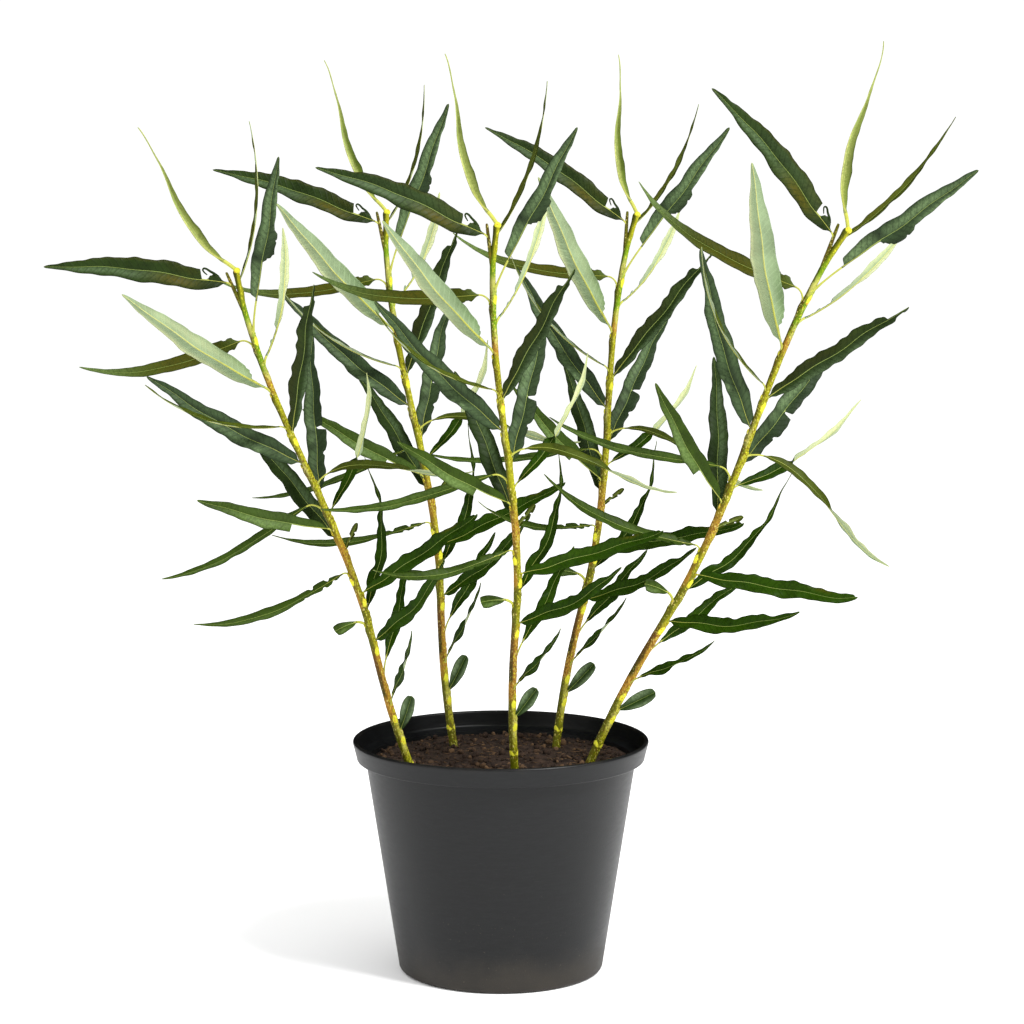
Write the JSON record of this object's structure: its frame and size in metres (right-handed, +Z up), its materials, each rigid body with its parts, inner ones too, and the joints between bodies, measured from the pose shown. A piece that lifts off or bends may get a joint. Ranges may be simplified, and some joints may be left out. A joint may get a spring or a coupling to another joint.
{
  "type": "potted common osier",
  "caption": "Clump of slender leafy willow shoots fanning out of a plain round nursery pot filled with compost.",
  "frame": {"origin": "centre of the pot's flat underside", "axes": "+Z up, +X to the right of the fan of shoots and +Y to its back"},
  "size_m": [0.5664, 0.255, 0.5906],
  "materials": {
    "pot_plastic": "satin black moulded plastic with a little dust",
    "compost": "dark crumbly potting compost",
    "bark": "smooth yellow-olive bark with pale dots and brown speckle",
    "foliage": "satin dark green leaves, silvery underneath"
  },
  "bodies": {
    "root": {"pot": "pot_plastic", "soil": "compost", "stem_1": "bark", "stem_2": "bark", "stem_3": "bark", "stem_4": "bark", "stem_5": "bark", "lower_leaves_1": "foliage", "lower_leaves_2": "foliage", "lower_leaves_3": "foliage", "lower_leaves_4": "foliage", "lower_leaves_5": "foliage", "middle_leaves_1": "foliage", "middle_leaves_2": "foliage", "middle_leaves_3": "foliage", "middle_leaves_4": "foliage", "middle_leaves_5": "foliage", "upper_leaves_1": "foliage", "upper_leaves_2": "foliage", "upper_leaves_3": "foliage", "upper_leaves_4": "foliage", "upper_leaves_5": "foliage"}
  },
  "joints": []
}
